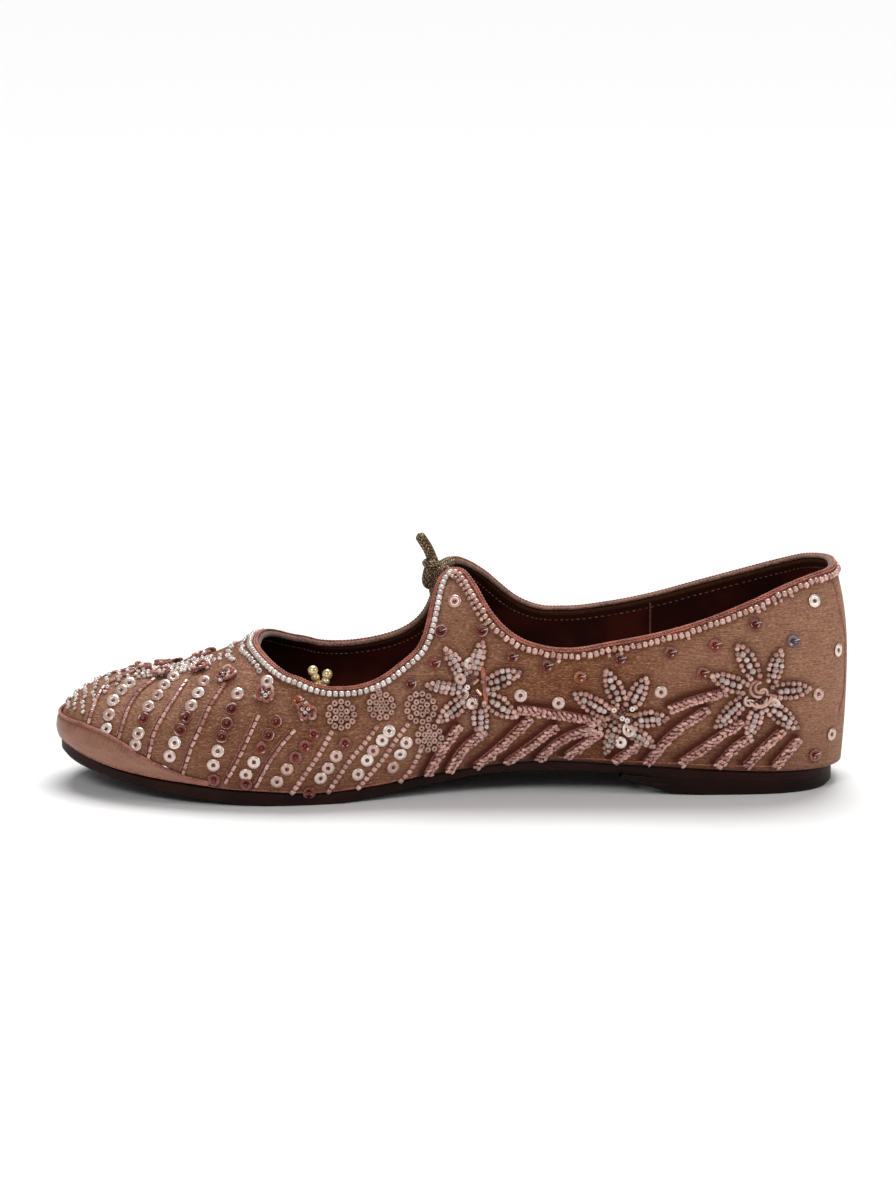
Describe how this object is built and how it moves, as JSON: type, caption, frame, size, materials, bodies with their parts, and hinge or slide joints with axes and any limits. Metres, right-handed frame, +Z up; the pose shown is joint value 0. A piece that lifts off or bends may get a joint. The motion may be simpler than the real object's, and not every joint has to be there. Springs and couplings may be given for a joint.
{
  "type": "embroidered bridal flat shoe",
  "caption": "Flat slip-on shoe with a hollow cloth upper, pointed ears tied over an open throat, a toe band, a bound collar and a leather sole on a low heel lift.",
  "frame": {"origin": "on the floor below the middle of the shoe's box, the loose tie left out", "axes": "+X to the heel, -Y to the inner side of the foot, +Z up from the floor"},
  "size_m": [0.2514, 0.0874, 0.0791],
  "materials": {
    "velvet": "short brushed nap",
    "satin": "satin weave",
    "piping": "twisted silk",
    "insole_board": "smooth lining leather",
    "outsole_leather": "stained and polished edge",
    "lift_leather": "stained and polished edge",
    "metallic_knit": "metallic knitted cord",
    "gold_beads": "polished beads",
    "lining": "dark suede lining",
    "seed_beads": "polished round beads",
    "pink_beads": "polished tube beads",
    "sequins": "metallised plastic",
    "silk_thread": "twisted silk"
  },
  "bodies": {
    "root": {"upper": "velvet", "toe_band": "satin", "collar_binding": "piping", "insole": "insole_board", "outsole": "outsole_leather", "heel_lift": "lift_leather", "tie_medial": "metallic_knit", "tie_lateral": "metallic_knit", "tie_knot": "metallic_knit", "tie_end_upper": "metallic_knit", "tie_end_inner": "metallic_knit", "tie_beads": "gold_beads"}
  },
  "joints": []
}
